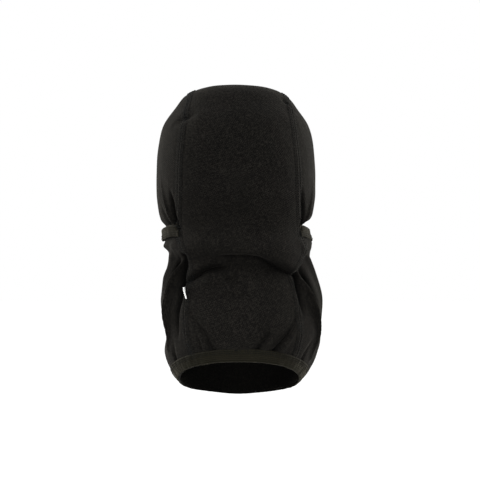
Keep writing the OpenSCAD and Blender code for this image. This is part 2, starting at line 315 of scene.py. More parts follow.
def mesh_object(name, points, faces, cloth=None):
    mesh = bpy.data.meshes.new(name)
    mesh.from_pydata((np.asarray(points) * MM).tolist(), [], [tuple(f) for f in faces])
    if cloth is not None:
        attribute = mesh.attributes.new("cloth", "FLOAT_VECTOR", "POINT")
        attribute.data.foreach_set("vector", (np.asarray(cloth) * MM).astype(np.float32).ravel())
    mesh.shade_smooth()
    shell = bmesh.new()
    shell.from_mesh(mesh)
    bmesh.ops.recalc_face_normals(shell, faces=shell.faces)
    shell.to_mesh(mesh)
    shell.free()
    mesh.update()
    obj = bpy.data.objects.new(name, mesh)
    bpy.context.scene.collection.objects.link(obj)
    return obj


def grid_faces(rows, cols, ring, start=0, flip=False):
    i, j = np.meshgrid(np.arange(rows - 1), np.arange(cols if ring else cols - 1), indexing="ij")
    a, b = i * cols + j, i * cols + (j + 1) % cols
    quads = np.stack([a, b, b + cols, a + cols], -1).reshape(-1, 4) + start
    return quads[:, ::-1] if flip else quads


def cloth_map(grid):
    """Distances along and across a grid, for the weave."""
    across = np.cumsum(np.linalg.norm(np.diff(grid, axis=1, prepend=grid[:, :1]), axis=-1), axis=1)
    along = np.cumsum(np.linalg.norm(np.diff(grid, axis=0, prepend=grid[:1]), axis=-1), axis=0)
    across = across - across[:, across.shape[1] // 2][:, None]
    along = np.broadcast_to(along[:, along.shape[1] // 2][:, None], along.shape)
    return np.stack([across, along, 0 * along], -1)


def slab(name, outer, thick, ring=False):
    """A closed sheet from a grid of outer points: thick may be a number or one value a row."""
    n = normals(outer, ring)
    rows, cols = outer.shape[:2]
    t = np.broadcast_to(np.asarray(thick, float).reshape(-1, 1, 1), (rows, 1, 1))
    inner = outer - n * t
    count = rows * cols
    faces = [grid_faces(rows, cols, ring), grid_faces(rows, cols, ring, count, True)]

    def edge(ids, flip):
        ids = np.array(ids)
        q = np.stack([ids[:-1], ids[1:], ids[1:] + count, ids[:-1] + count], -1)
        return q[:, ::-1] if flip else q

    row = list(range(cols)) + ([0] if ring else [])
    faces.append(edge(row, True))
    faces.append(edge([k + (rows - 1) * cols for k in row], False))
    if not ring:
        faces.append(edge([k * cols for k in range(rows)], False))
        faces.append(edge([k * cols + cols - 1 for k in range(rows)], True))
    cloth = cloth_map(outer).reshape(-1, 3)
    inner_cloth = cloth + [0, 0, INNER_MARK]
    return mesh_object(name, np.concatenate([outer.reshape(-1, 3), inner.reshape(-1, 3)]),
                       np.concatenate(faces).tolist(), np.concatenate([cloth, inner_cloth]))


# ---- stitches: short bowed threads ----

def distances(line):
    """How far along a line of points each point is."""
    return np.concatenate([[0], np.cumsum(np.linalg.norm(np.diff(line, axis=0), axis=1))])


def at_places(values, known, wanted):
    """Values along a line, from the places where they are known to those where they are wanted."""
    return np.stack([np.interp(wanted, known, values[:, k]) for k in range(3)], -1)


class Threads:
    """Gathers stitches, then makes them one piece."""

    RINGS, SIDES = 5, 6

    def __init__(self):
        self.points, self.faces, self.count = [], [], 0

    def add(self, start, end, out, radius, rise, sink=0.35):
        """Stitches from start to end points, bowed out of the cloth."""
        along = unit(end - start)
        side = unit(np.cross(along, out))
        rings = []
        for t in np.linspace(0, 1, self.RINGS):
            bow = math.sin(math.pi * t)
            centre = mix(start, end, t) + out * (rise * bow - sink * (1 - bow))
            r = radius * (0.45 + 0.55 * bow)
            turns = [math.tau * k / self.SIDES for k in range(self.SIDES)]
            rings.append(np.stack([centre + r * (side * math.cos(q) + out * math.sin(q)) for q in turns], 1))
        made = np.stack(rings, 1).reshape(len(start), -1, 3)
        per = self.RINGS * self.SIDES
        for k in range(len(start)):
            base = self.count + k * per
            self.faces += grid_faces(self.RINGS, self.SIDES, True, base, True).tolist()
            self.faces.append([base + s for s in range(self.SIDES)])
            self.faces.append([base + per - 1 - s for s in range(self.SIDES)])
        self.points.append(made.reshape(-1, 3))
        self.count += len(start) * per

    def row(self, line, out, pitch, radius, rise, gap=0.18):
        """A row of running stitches along a line of points."""
        s = distances(line)
        starts = np.arange(0, s[-1] - pitch, pitch)
        self.add(at_places(line, s, starts), at_places(line, s, starts + pitch * (1 - gap)),
                 unit(at_places(out, s, starts + pitch / 2)), radius, rise)

    def zigzag(self, left, right, out, pitch, radius, rise):
        """Threads that cross to and fro between two lines of points."""
        s = distances(left)
        starts = np.arange(0, s[-1] - pitch, pitch)
        n = unit(at_places(out, s, starts))
        turn = at_places(right, s, starts + pitch * 0.5)
        self.add(at_places(left, s, starts), turn, n, radius, rise)
        self.add(turn, at_places(left, s, starts + pitch), n, radius, rise)

    def piece(self, name):
        return mesh_object(name, np.concatenate(self.points), self.faces)


# ---- the folds of the cloth ----
# Angles run round from the nape, towards the wearer's left; heights are above the hinge line.
# Behind and on the flanks, points began as places picked by eye on the photograph, which a scratch program
# turned into angles and heights. Some stand as it gave them and most were moved by hand: see report.md.

FLATLOCK_W = 8.6


SEAMS = [strip(side, np.linspace(0, 2, 120)) for side in (1, -1)]


def near_line(p, line):
    """Distance of points from a line of points."""
    best = np.full(len(p), 1e9)
    for s, e in zip(line[:-1], line[1:]):
        d = e - s
        t = np.clip(((p - s) @ d) / (d @ d), 0, 1)
        best = np.minimum(best, np.linalg.norm(p - s - t[:, None] * d, axis=1))
    return best


class Flatlock:
    """Raised band of a flatlock seam with a shallow groove on both sides, as a fold."""

    RISE, GROOVE = 0.28, 0.2
    pull = np.zeros(3)

    def at(self, p):
        out = np.zeros(len(p))
        for line in SEAMS:
            past = near_line(p, line) - FLATLOCK_W / 2
            band, groove = 1 - smooth(-1.2, 0.8, past), np.exp(-((past - 1.6) / 1.4) ** 2)
            out += self.RISE * band - self.GROOVE * groove
        return out


# Behind: the nape's roll, the creases under it, the dents below and the gathers over the hem
BACK_FOLDS = [
    Fold([(52, -22), (44, -17), (26, -13), (0, -11), (-14, -13), (-30, -17), (-48, -25)],
         [1.0, 2.6, 3.2, 3.4, 3.8, 4.6, 3.4], 11, pull=(0, 0, -0.5)),
    Fold([(24, -26), (14, -25), (5, -24), (-8, -24), (-16, -27), (-27, -34), (-37, -40), (-46, -45)],
         [0, -2.2, -4.0, -4.6, -5.0, -5.8, -6.8, -5.2], 4.0, sharp=True),
    Fold([(24, -30), (14, -31), (5, -30), (-8, -30), (-16, -33), (-27, -40), (-37, -47)],
         [0, -1.6, -2.6, -3.0, -3.2, -3.4, -2.4], 9.0),
    Fold([(20, -20), (5, -18), (-8, -18), (-18, -21), (-30, -29), (-42, -37)],
         [0, 1.4, 2.0, 2.4, 2.8, 2.0], 7.0, pull=(0, 0, -0.8)),
    Fold([(39, -52), (29, -43), (23, -38), (15, -36), (6, -35)],
         [-3.0, -7.0, -6.6, -4.4, 0], 3.8, sharp=True),
    Fold([(38, -44), (28, -36), (18, -30)], [1.6, 2.8, 0.8], 5.5),
    Fold([(30, -56), (20, -48), (8, -44)], [0.6, 2.0, 0.8], 7.0),
    Fold([(30, -75), (0, -80), (-30, -78)], [2.2, 3.4, 2.8], 30),
    Fold([(11, -45), (6, -48), (0, -48)], [0, -2.6, 0], 3.6, sharp=True),
    Fold([(8, -63), (0, -65), (-8, -66)], [0, -2.2, 0], 4.0, sharp=True),
    Fold([(-3, -38), (-10, -40), (-18, -46)], [0, -1.0, 0], 4.0, sharp=True),
    Fold([(36, -78), (34, -84), (27, -100), (23, -113), (18, -118)],
         [0, -1.6, -2.6, -2.8, -1.6], 3.4, sharp=True),
    Fold([(34, -98), (31, -108), (28, -118)], [0, -1.8, -2.2], 2.6, sharp=True),
    Fold([(38, -88), (31, -102), (26, -116)], [0, 1.8, 1.6], 4.2),
    Fold([(-37, -82), (-36, -90), (-28, -108), (-23, -119)], [0, -2.6, -4.6, -4.6], 3.2, sharp=True),
    Fold([(-40, -84), (-34, -101), (-28, -117)], [0, 2.2, 2.2], 4.2),
    Fold([(-17, -98), (-14, -105), (-10, -118)], [0, -2.6, -3.0], 3.0, sharp=True),
    Fold([(-20, -98), (-17, -108), (-14, -118)], [0, 1.5, 1.6], 3.6),
    Fold([(54, 106), (40, 114), (27, 117)], [0, -3.2, 0], 4.4, sharp=True),
    Fold([(-46, 136), (-54, 132), (-64, 122)], [0, -3.6, 0], 4.6, sharp=True),
    Fold([(-46, 132), (-52, 125), (-54, 116)], [0, 1.6, 0], 5.0),
]
# On the hood's sides above the band, which draws the cloth in, and on both sides of the seams
HOOD_FOLDS = [
    Fold([(47.5, 4), (48, 12), (48, 26), (50, 44)], [-6.0, -6.0, -4.4, 0], 2.6),
    Fold([(51, 4), (52.5, 12), (57, 32), (64, 52)], [2.2, 2.6, 2.6, 0.6], 2.4, sharp=True),
    Fold([(60, 6), (63, 16), (70, 34)], [-2.0, -2.4, 0], 4.0),
    Fold([(-57, 4), (-57, 12), (-53, 28), (-49, 46)], [-6.0, -6.0, -4.0, 0], 2.8),
    Fold([(-62, 4), (-63, 12), (-64.5, 29), (-69, 48)], [2.2, 2.6, 2.4, 0.6], 2.4, sharp=True),
    Fold([(-70, 6), (-73, 18), (-78, 34)], [-1.6, -1.8, 0], 3.6),
]
# On both flanks, from the band down to the hem
FLANK_FOLDS = [
    Fold([(66, -13), (80, -14), (96, -15)], [0, 2.6, 2.0], 3.6),
    Fold([(60, -19), (74, -21), (92, -23)], [-2.0, -2.4, -1.0], 4.0),
    Fold([(44, -24), (45.5, -38), (45.5, -56), (48, -76), (52, -95), (55, -112)],
         [-7.5, -11.5, -10.5, -7.5, -4.0, 0], 3.8, sharp=True),
    Fold([(44, -26), (50, -37), (54, -48), (58, -59), (61, -73), (64, -88), (68, -104), (70, -122)],
         [2.0, 4.6, 5.8, 5.8, 5.6, 5.0, 3.6, 1.6], 3.8, sharp=True, pull=(0.3, 0.3, 0)),
    Fold([(51, -28), (57, -37), (62, -49), (66, -61), (70, -75), (75, -90)],
         [-2.5, -7.0, -8.5, -8.0, -5.5, 0], 3.8, sharp=True),
    Fold([(52, -10), (60, -18), (68, -32), (76, -50), (82, -74)], [1.2, 2.6, 2.8, 2.4, 0], 5.0),
    Fold([(84, -40), (90, -70), (94, -100)], [1.0, 2.4, 0], 12),
    Fold([(-46, -42), (-42.5, -56), (-42, -68), (-44, -86)], [-6.0, -7.5, -6.0, 0], 2.7, sharp=True),
    Fold([(-45, -44), (-49, -55), (-53, -67), (-58, -78), (-64, -93), (-70, -112), (-74, -132)],
         [1.6, 4.4, 5.4, 5.4, 4.6, 3.2, 1.4], 3.8, sharp=True, pull=(-0.2, 0.3, 0)),
    Fold([(-51, -38), (-56, -49), (-61, -61), (-66, -73), (-72, -88)],
         [-3.5, -7.5, -8.0, -5.5, 0], 3.8, sharp=True),
    Fold([(-51, -11), (-58, -19), (-67, -29), (-76, -46), (-82, -70), (-86, -98)],
         [1.2, 3.0, 4.0, 3.4, 2.2, 0], 5.0),
    Fold([(-58, 5), (-74, 4), (-92, 2), (-114, 0)], [-0.5, -5.0, -8.0, -2.0], 8.0),
    Fold([(-68, -9), (-80, -9), (-94, -10)], [0, 4.6, 3.4], 3.4),
    Fold([(-62, -20), (-74, -22), (-90, -24)], [-1.6, -2.8, -1.0], 4.2),
    Fold([(-84, -104), (-88, -118), (-90, -130), (-90, -144)], [0, 3.6, 3.8, 2.0], 16),
    Fold([(62, -108), (60, -122), (59, -134)], [0, -1.6, -2.0], 3.0),
    Fold([(-62, -108), (-60, -122), (-58, -134)], [0, -1.6, -2.0], 3.0),
]
# In front, where the mask stands over the nose and the neck is loose
FRONT_FOLDS = [
    Fold([(120, -20), (140, -60), (165, -84), (180, -90), (195, -84), (220, -60), (240, -20)],
         [0, -1.5, -3.2, -3.6, -3.2, -1.5, 0], 12),
    Fold([(180, 16), (180, -10), (180, -30)], [3.4, 2.0, 0], 13),
    Fold([(150, -100), (165, -112), (180, -115), (200, -110), (214, -98)], [0, 2.4, 3.0, 2.2, 0], 9),
    Fold([(140, -118), (160, -132), (180, -136), (204, -130)], [0, 1.6, 2.2, 0], 8),
    Fold([(112, -60), (122, -96), (128, -132)], [0, 2.0, 0], 9),
    Fold([(-112, -56), (-120, -92), (-126, -128)], [0, 2.2, 0], 9),
]


SEEN_FOLDS = BACK_FOLDS + HOOD_FOLDS + FLANK_FOLDS + [Flatlock()]
FRONT_PANEL_FOLDS = BACK_FOLDS + HOOD_FOLDS + FLANK_FOLDS + FRONT_FOLDS + [Flatlock()]


# ---- the cloth pieces ----

HIDDEN_IN = 16.0
HEM_TURN = 1.2
TUCK_IN, TUCK_MORE = 2.8, 1.4
CHEEK_END_Z = -40.0
FLAT_SHARE = 0.1


def cheek_skin(grid, folds, from_seam=1.0, rise=0.0):
    """The hood's skin with its folds; below the hinge line it lies well inside the mask and its valleys."""
    n, z = normals(grid), grid[..., 2]
    inset = (1 - smooth(2, 13, z)) * (TUCK_IN + TUCK_MORE * smooth(0.05, 0.4, from_seam)) - rise
    seen = shaped(grid, folds) - n * inset[..., None]
    hidden = grid - unit(grid * [1, 1, 0]) * (HIDDEN_IN - rise)
    return mix(hidden, seen, smooth(-16, 0, z)[..., None])


def centre_panel():
    rows, cols = 330, 110
    u = np.linspace(-1, 1, cols)[None, :] * np.ones((rows, 1))
    v = np.linspace(-0.07, 2, rows)[:, None] * np.ones((1, cols))
    grid = shaped(strip(u, v), SEEN_FOLDS)
    return slab("centre_panel_cloth", grid, FLEECE_T)


CHEEK_PATH = [(64, 54, -44), (70, 22, -44), (73, -12, -32), (74, -34, 0), (72, -46, 34), (64, -62, 62)]


def face_edge(side, t):
    """The hood's front edge, from 0 below the ear to 1 at the brow seam."""
    brow = strip(side, 2.0) - np.array([sway(WIDE_Z), 0, 0])
    path = np.array([(side * x, y, z) for x, y, z in CHEEK_PATH] + [tuple(brow)])
    k = np.linspace(0, 1, len(path))
    return np.stack([curve(list(zip(k, path[:, i])), t) for i in range(3)], -1)


def hood_x(y, z):
    """Half width of the hood at a place in its side view."""
    s = (np.abs(y) / depth(y, z, HOOD_FRONT_LINE)) ** SECTION_POWER
    return half_width(z) * np.maximum(0, 1 - s) ** (1 / SECTION_POWER)


HEAD_MIDDLE = np.array([0, 0, 30.0])


def hood_cast(p, side):
    """Where lines from the middle of the head through p leave the hood, before it tucks in."""
    lo, hi = np.full(p.shape[:-1], 0.5), np.full(p.shape[:-1], 1.5)
    for _ in range(24):
        m = (lo + hi) / 2
        q = mix(HEAD_MIDDLE, p, m[..., None])
        inside = side * q[..., 0] < hood_x(q[..., 1], q[..., 2])
        lo, hi = np.where(inside, m, lo), np.where(inside, hi, m)
    return mix(HEAD_MIDDLE, p, lo[..., None])


def hood_panel(side):
    rows, cols = 190, 120
    v = np.linspace(hood_start(side), 2, rows)
    t = np.linspace(0, 1, rows)
    lean = np.array([sway(WIDE_Z), 0, 0])
    p = strip(side, v) - lean
    q = face_edge(side, t)
    grid = mix(p[:, None], q[:, None], np.linspace(0, 1, cols)[None, :, None])
    grid = np.concatenate([p[:, None], hood_cast(grid[:, 1:], side)], 1) + lean
    if side < 0:
        grid = grid[:, ::-1]
    from_seam = np.linspace(0, 1, cols)[None, :] if side > 0 else np.linspace(1, 0, cols)[None, :]
    outer = cheek_skin(grid, SEEN_FOLDS, from_seam)
    return slab(f"{'left' if side > 0 else 'right'}_hood_cloth", outer, FLEECE_T)


def hood_start(side):
    """Where along the seam the hood's cheek ends, under the neck's cloth."""
    foot = hem_z(seam_angle(side, SEAM_FOOT_Z)) + BINDING_W
    return (CHEEK_END_Z - foot) / (WIDE_Z - foot)


BAND_LINE = [(0, 1), (25, -1.5), (70, -4.5), (115, 2), (150, NOSE_Z - 2), (185, NOSE_Z)]


def band_mid(a):
    """Height of the middle of the mask's band round the head."""
    return curve(BAND_LINE, HINGE[1] - skin(a, np.zeros_like(a))[..., 1])


def front_angle(s, z):
    """Angle round the head, from the left seam at 0, past the nose, to the right seam at 1."""
    return mix(seam_angle(1, z), math.tau + seam_angle(-1, z), s)


def front_skin(s, z):
    """The front panel's outer face: its cloth is loose, but lies flat under the mask's band."""
    flat = skin(front_angle(s, z), z)
    folded = shaped(flat, FRONT_PANEL_FOLDS)
    from_seam = np.minimum(s, 1 - s)
    below_band = band_mid(front_angle(s, z)) - z
    loose = np.maximum(smooth(5, 14, below_band), 1 - smooth(0.001, 0.007, from_seam))
    return mix(flat, folded, (FLAT_SHARE + (1 - FLAT_SHARE) * loose)[..., None])


def front_panel():
    rows, cols = 150, 330
    s = np.linspace(0, 1, cols)[None, :] * np.ones((rows, 1))
    a0 = front_angle(s, np.full(s.shape, NECK_Z))
    low, high = hem_z(a0) + HEM_TURN, band_mid(a0)
    z = mix(low, high, np.linspace(0, 1, rows)[:, None])
    return slab("front_panel_cloth", front_skin(s, z), FLEECE_T)


# ---- bindings: tape over an edge, rounded there and thinner at its far side ----

ROUNDED, THIN_FROM, THINNER = 0.16, 0.93, 0.35
EDGE_T, LAP = 0.3, 0.35
HEM_FOLD_SHARE = 0.45

def tape(name, grid, ring=False, inner=True):
    """Tape over the edge at row 0 of a grid in the cloth's outer face, and over its inner face or not."""
    n = normals(grid, ring)
    h = np.linspace(0, 1, grid.shape[0])
    full = np.sqrt(1 - (1 - np.clip(h / ROUNDED, 0, 1)) ** 2) * (1 - THINNER * smooth(THIN_FROM, 1, h))
    full = full[:, None, None]
    outer = grid + n * (TAPE_T * full - FLEECE_T / 2 * (1 - full))
    reach = FLEECE_T + 2 * TAPE_T if inner else TAPE_T + LAP
    return slab(name, outer, full[:, 0, 0] * reach + EDGE_T * (1 - full[:, 0, 0]), ring)


def hem_grid(heights, cols=420):
    a = np.linspace(0, math.tau, cols, endpoint=False)[None, :] * np.ones((len(heights), 1))
    z = hem_z(a) + np.asarray(heights, float)[:, None]
    grid = skin(a, z)
    n = normals(grid, True)
    flat = grid.reshape(-1, 3)
    pucker = 0.35 * ripple(flat * [1, 1, 0.3], 7, 5) + 0.25 * ripple(flat, 19, 8)
    # the tape's ends lap over each other, a little to the left of the nape
    degrees = np.degrees(a).reshape(-1)
    pucker += 0.45 * (smooth(20.4, 20.8, degrees) - smooth(26.5, 28, degrees))
    moved = relief(flat, n.reshape(-1, 3), [SoftFold(f, HEM_FOLD_SHARE) for f in BACK_FOLDS + FLANK_FOLDS]) \
        + n.reshape(-1, 3) * pucker[:, None]
    return moved.reshape(grid.shape)


class SoftFold:
    """The same fold, held flatter."""

    def __init__(self, fold, share):
        self.fold, self.share, self.pull = fold, share, fold.pull * share

    def at(self, p):
        return self.share * self.fold.at(p)


def band_grid(heights, cols=330):
    """The band's outer face, from the right seam to the left: its rows are heights above its lower edge."""
    s = np.linspace(1.004, -0.004, cols)[None, :] * np.ones((len(heights), 1))
    z = band_mid(front_angle(s, np.zeros(s.shape))) - BAND_W / 2 + np.asarray(heights, float)[:, None]
    grid = front_skin(s, z)
    from_seam = np.minimum(s, 1 - s)
    # the band stands off the cloth by the left seam
    swell = smooth(0.01, 0.05, from_seam) * (1 - smooth(0.18, 0.3, from_seam)) * np.where(s < 0.5, 1.8, 0.0)
    wave = 0.3 * ripple(grid.reshape(-1, 3) * [1, 1, 0.3], 9, 12).reshape(s.shape)
    return grid + normals(grid) * (0.9 + swell + wave)[..., None]


def rim_grid(insets, cols=300):
    """Cloth behind the face opening's edge, from under the left ear over the brow to under the right ear."""
    out = []
    for inset in insets:
        s = np.linspace(0, 1, cols)
        q = 1 - np.abs(2 * s - 1)
        line = np.zeros((cols, 3))
        cheek = 0.8
        for side, here in ((1, s < 0.5), (-1, s >= 0.5)):
            p = face_edge(side, np.clip(q[here] / cheek, 0, 1)) + np.array([0, inset * 0.8, inset * 0.6])
            line[here] = hood_cast(p, side)
        over = q > cheek
        brow = np.abs((strip(1, 2.0) - strip(-1, 2.0))[0]) / 2
        x = (1 - q[over]) / (1 - cheek) * brow * np.sign(0.5 - s[over])
        z = brow_z(x) + inset
        line[over] = np.stack([x, -front_reach(x, z), z], -1)
        blurred = line.copy()
        for _ in range(6):
            blurred[1:-1] = (blurred[:-2] + 2 * blurred[1:-1] + blurred[2:]) / 4
        out.append(blurred + [sway(WIDE_Z), 0, 0])
    return cheek_skin(np.array(out), HOOD_FOLDS + FLANK_FOLDS, rise=0.4)


# ---- materials ----

def colour_ramp(tree, value, stops):
    ramp = tree.nodes.new("ShaderNodeValToRGB")
    tree.links.new(value, ramp.inputs[0])
    while len(ramp.color_ramp.elements) < len(stops):
        ramp.color_ramp.elements.new(0.5)
    for element, (at, colour) in zip(ramp.color_ramp.elements, stops):
        element.position, element.color = at, (*colour, 1)
    return ramp.outputs[0]


# How much painted shade darkens the inner face's colour, and how fast painted shade darkens the creases
INNER_PAINTED_SHADE, PAINTED_CREASE_SHADE_POWER = 0.6, 2.2


class Cloth:
    """A woven or knitted material that reads the distances stored on the cloth."""

    def __init__(self, name, roughness, sheen, sheen_tint, sheen_roughness=0.5):
        self.material = bpy.data.materials.new(name)
        self.material.use_nodes = True
        self.tree = self.material.node_tree
        self.shader = self.tree.nodes["Principled BSDF"]
        self.shader.inputs["Roughness"].default_value = roughness
        self.shader.inputs["Sheen Weight"].default_value = sheen
        self.shader.inputs["Sheen Roughness"].default_value = sheen_roughness
        self.shader.inputs["Sheen Tint"].default_value = (*sheen_tint, 1)
        self.shader.inputs["Specular IOR Level"].default_value = 0.03
        self.cloth = self.tree.nodes.new("ShaderNodeAttribute")
        self.cloth.attribute_name = "cloth"
        self.place = self.tree.nodes.new("ShaderNodeTexCoord").outputs["Object"]

    def math(self, operation, a, b=None, c=None):
        node = self.tree.nodes.new("ShaderNodeMath")
        node.operation = operation
        for socket, value in zip(node.inputs, (a, b, c)):
            if value is None:
                continue
            if isinstance(value, (int, float)):
                socket.default_value = value
            else:
                self.tree.links.new(value, socket)
        return node.outputs[0]

    def noise(self, scale, detail=3.0):
        node = self.tree.nodes.new("ShaderNodeTexNoise")
        node.inputs["Scale"].default_value = scale
        node.inputs["Detail"].default_value = detail
        self.tree.links.new(self.place, node.inputs["Vector"])
        return node.outputs["Fac"]

    def stored(self):
        """The distances across and along the cloth, and the inner face's mark."""
        split = self.tree.nodes.new("ShaderNodeSeparateXYZ")
        self.tree.links.new(self.cloth.outputs["Vector"], split.inputs[0])
        return split.outputs

    def waves(self, value, pitch, phase=0.0):
        """A sine from 0 to 1 along a distance."""
        turned = self.math("MULTIPLY_ADD", value, math.tau / pitch, phase)
        return self.math("MULTIPLY_ADD", self.math("SINE", turned), 0.5, 0.5)

    def bump(self, height, distance, strength):
        node = self.tree.nodes.new("ShaderNodeBump")
        node.inputs["Distance"].default_value = distance
        node.inputs["Strength"].default_value = strength
        self.tree.links.new(height, node.inputs["Height"])
        return node.outputs[0]

    def inner_shade_factor(self):
        """1 on the outer face, and less on the inner one, as painted shade for the unlit inside."""
        inner = self.math("GREATER_THAN", self.stored()[2], INNER_MARK * MM / 2)
        # painted shade: the inner face keeps only part of its colour
        return self.math("MULTIPLY_ADD", inner, -INNER_PAINTED_SHADE, 1.0)

    def colour(self, socket, crease_shade_reach=0.0):
        """Base colour; where a reach is given, painted shade darkens it in the creases, through an ambient
        occlusion node, and on the inner face.
        """
        if crease_shade_reach:
            painted_shade_ao = self.tree.nodes.new("ShaderNodeAmbientOcclusion")
            painted_shade_ao.samples = 8
            painted_shade_ao.inputs["Distance"].default_value = crease_shade_reach
            # painted shade: the colour darkens where other cloth closes in around it
            crease_shade_factor = self.math("POWER", painted_shade_ao.outputs["AO"], PAINTED_CREASE_SHADE_POWER)
            painted_shade_share = self.math("MULTIPLY", crease_shade_factor, self.inner_shade_factor())
            shade = self.tree.nodes.new("ShaderNodeVectorMath")
            shade.operation = "SCALE"
            self.tree.links.new(socket, shade.inputs[0])
            self.tree.links.new(painted_shade_share, shade.inputs["Scale"])
            socket = shade.outputs[0]
        self.tree.links.new(socket, self.shader.inputs["Base Color"])

    def normal(self, socket):
        self.tree.links.new(socket, self.shader.inputs["Normal"])


# Each ramp holds [place, colour]
FLEECE_TONES = [(0.26, (0.0010, 0.0009, 0.0008)), (0.42, (0.0022, 0.00202, 0.0017)),
                (0.62, (0.0055, 0.0050, 0.0042))]
TAPE_TONES = [(0.20, (0.0014, 0.0013, 0.0007)), (0.5, (0.0030, 0.0027, 0.0016)),
              (0.85, (0.0056, 0.0051, 0.0031))]
THREAD_TONES = [(0.3, (0.0009, 0.0011, 0.0011)), (0.7, (0.0021, 0.0025, 0.0026))]
LABEL_TONES = [(0.3, (0.30, 0.30, 0.29)), (0.7, (0.45, 0.45, 0.44))]
# How far the ambient occlusion reaches for the painted crease shade, in metres
FLEECE_SHADE_REACH, TAPE_SHADE_REACH = 0.024, 0.012


def fleece_material():
    """Stretch fleece: a fine diagonal knit face with short pile."""
    m = Cloth("fleece", 0.95, 0.013, (0.86, 0.80, 0.68), 0.28)
    across, along, _ = m.stored()
    pitch = 0.0021
    diagonal = m.math("ADD", across, m.math("MULTIPLY", along, 0.62))
    other = m.math("SUBTRACT", along, m.math("MULTIPLY", across, 0.35))
    knit = m.math("MULTIPLY", m.waves(diagonal, pitch), m.waves(other, pitch * 0.86, 1.0))
    pile = m.noise(1500, 4)
    tuft = m.noise(520, 3)
    broad = m.noise(26, 3)
    height = m.math("ADD", m.math("MULTIPLY", knit, 0.6), m.math("ADD", m.math("MULTIPLY", pile, 0.5), tuft))
    tone = m.math("MULTIPLY_ADD", knit, 0.22, m.math("MULTIPLY_ADD", pile, 0.38, m.math(
        "MULTIPLY_ADD", tuft, 0.86, m.math("MULTIPLY_ADD", broad, 0.20, -0.36))))
    # the fleece colour gets painted shade in the creases and on the inner face
    m.colour(colour_ramp(m.tree, tone, FLEECE_TONES), FLEECE_SHADE_REACH)
    m.normal(m.bump(height, 0.00045, 0.8))
    return m.material


def tape_material():
    """Ribbed elastic tape: fine ribs along it and a herring weave across."""
    m = Cloth("binding", 0.85, 0.03, (0.90, 0.84, 0.62), 0.3)
    across, along, _ = m.stored()
    ribs = m.waves(along, 0.0019)
    weave = m.waves(across, 0.0012)
    fuzz = m.noise(1100, 3)
    broad = m.noise(60, 2)
    height = m.math("ADD", m.math("MULTIPLY_ADD", weave, 0.35, m.math("MULTIPLY", ribs, 0.9)), fuzz)
    tone = m.math("MULTIPLY_ADD", ribs, 0.34, m.math("MULTIPLY_ADD", fuzz, 0.36, m.math(
        "MULTIPLY_ADD", weave, 0.12, m.math("MULTIPLY", broad, 0.24))))
    # the tape colour gets painted shade in the creases and on the inner face
    m.colour(colour_ramp(m.tree, tone, TAPE_TONES), TAPE_SHADE_REACH)
    m.normal(m.bump(height, 0.0003, 0.7))
    return m.material


def thread_material():
    m = Cloth("thread", 0.8, 0.01, (0.9, 0.9, 0.86))
    twist = m.noise(2600, 2)
    m.colour(colour_ramp(m.tree, twist, THREAD_TONES))
    m.normal(m.bump(twist, 0.0002, 0.5))
    return m.material


def label_material():
    m = Cloth("label", 0.45, 0.1, (1, 1, 1))
    weave = m.noise(1900, 2)
    m.colour(colour_ramp(m.tree, weave, LABEL_TONES))
    m.normal(m.bump(weave, 0.00015, 0.5))
    return m.material


# ---- stitching, tacks and label ----

NEEDLE_ROWS = np.array([-3.3, -1.1, 1.1, 3.3])
SEAM_PITCH = 2.7

def seam_stitching(side):
    """Flatlock: four rows of needle thread with a covering thread that crosses between the outer two."""
    rows = 420
    v = np.linspace(0.005, 1.985, rows)
    grid = np.stack([strip(side, v, shift) for shift in NEEDLE_ROWS], 1)
    if side < 0:
        grid = grid[:, ::-1]
    n = normals(grid)
    flat = grid.reshape(-1, 3)
    grid = relief(flat, n.reshape(-1, 3), SEEN_FOLDS).reshape(grid.shape)
    grid += n * uneven(flat).reshape(rows, -1, 1)
    threads = Threads()
    for k in range(len(NEEDLE_ROWS)):
        threads.row(grid[:, k], n[:, k], SEAM_PITCH, 0.36, 0.16)
    threads.zigzag(grid[:, 0], grid[:, 3], n[:, 1], SEAM_PITCH, 0.24, 0.24)
    return threads.piece(f"{'left' if side > 0 else 'right'}_flatlock_threads")


def tape_stitching(name, grid, ring=False, pitch=2.6):
    """Two rows of coverstitch over a tape, on a grid of two rows of points."""
    n = normals(np.concatenate([grid, grid[1:] * 2 - grid[:1]], 0), ring)[:2]
    threads = Threads()
    for k in range(2):
        line = grid[k] + n[k] * TAPE_T
        out = n[k]
        if ring:
            line, out = np.concatenate([line, line[:1]]), np.concatenate([out, out[:1]])
        threads.row(line, out, pitch, 0.24, 0.30)
    return threads.piece(name)


def hinge_tack(side):
    """Bar tack: a bar of close stitches across the end of the mask's band."""
    tall, wide, stitches = 11.0, 2.6, 26
    z = np.linspace(-tall / 2, tall / 2, stitches)
    grid = np.stack([strip_at(side, z, s) for s in (-wide / 2, wide / 2)], 1)
    n = np.stack([unit(grid[:, 0] * [1, 1, 0])] * 2, 1)
    folds = HOOD_FOLDS + FLANK_FOLDS + [Flatlock()]
    grid = relief(grid.reshape(-1, 3), n.reshape(-1, 3), folds).reshape(grid.shape)
    grid += n * 0.35
    threads = Threads()
    threads.add(grid[:, 0], grid[:, 1], n[:, 0], 0.30, 0.45)
    threads.add(grid[:-1, 1], grid[1:, 0], n[1:, 0], 0.26, 0.40)
    return threads.piece(f"{'left' if side > 0 else 'right'}_bar_tack")


def strip_at(side, z, shift):
    """The seam at heights, moved to one side of it."""
    return skin(seam_angle(side, z, shift), z)


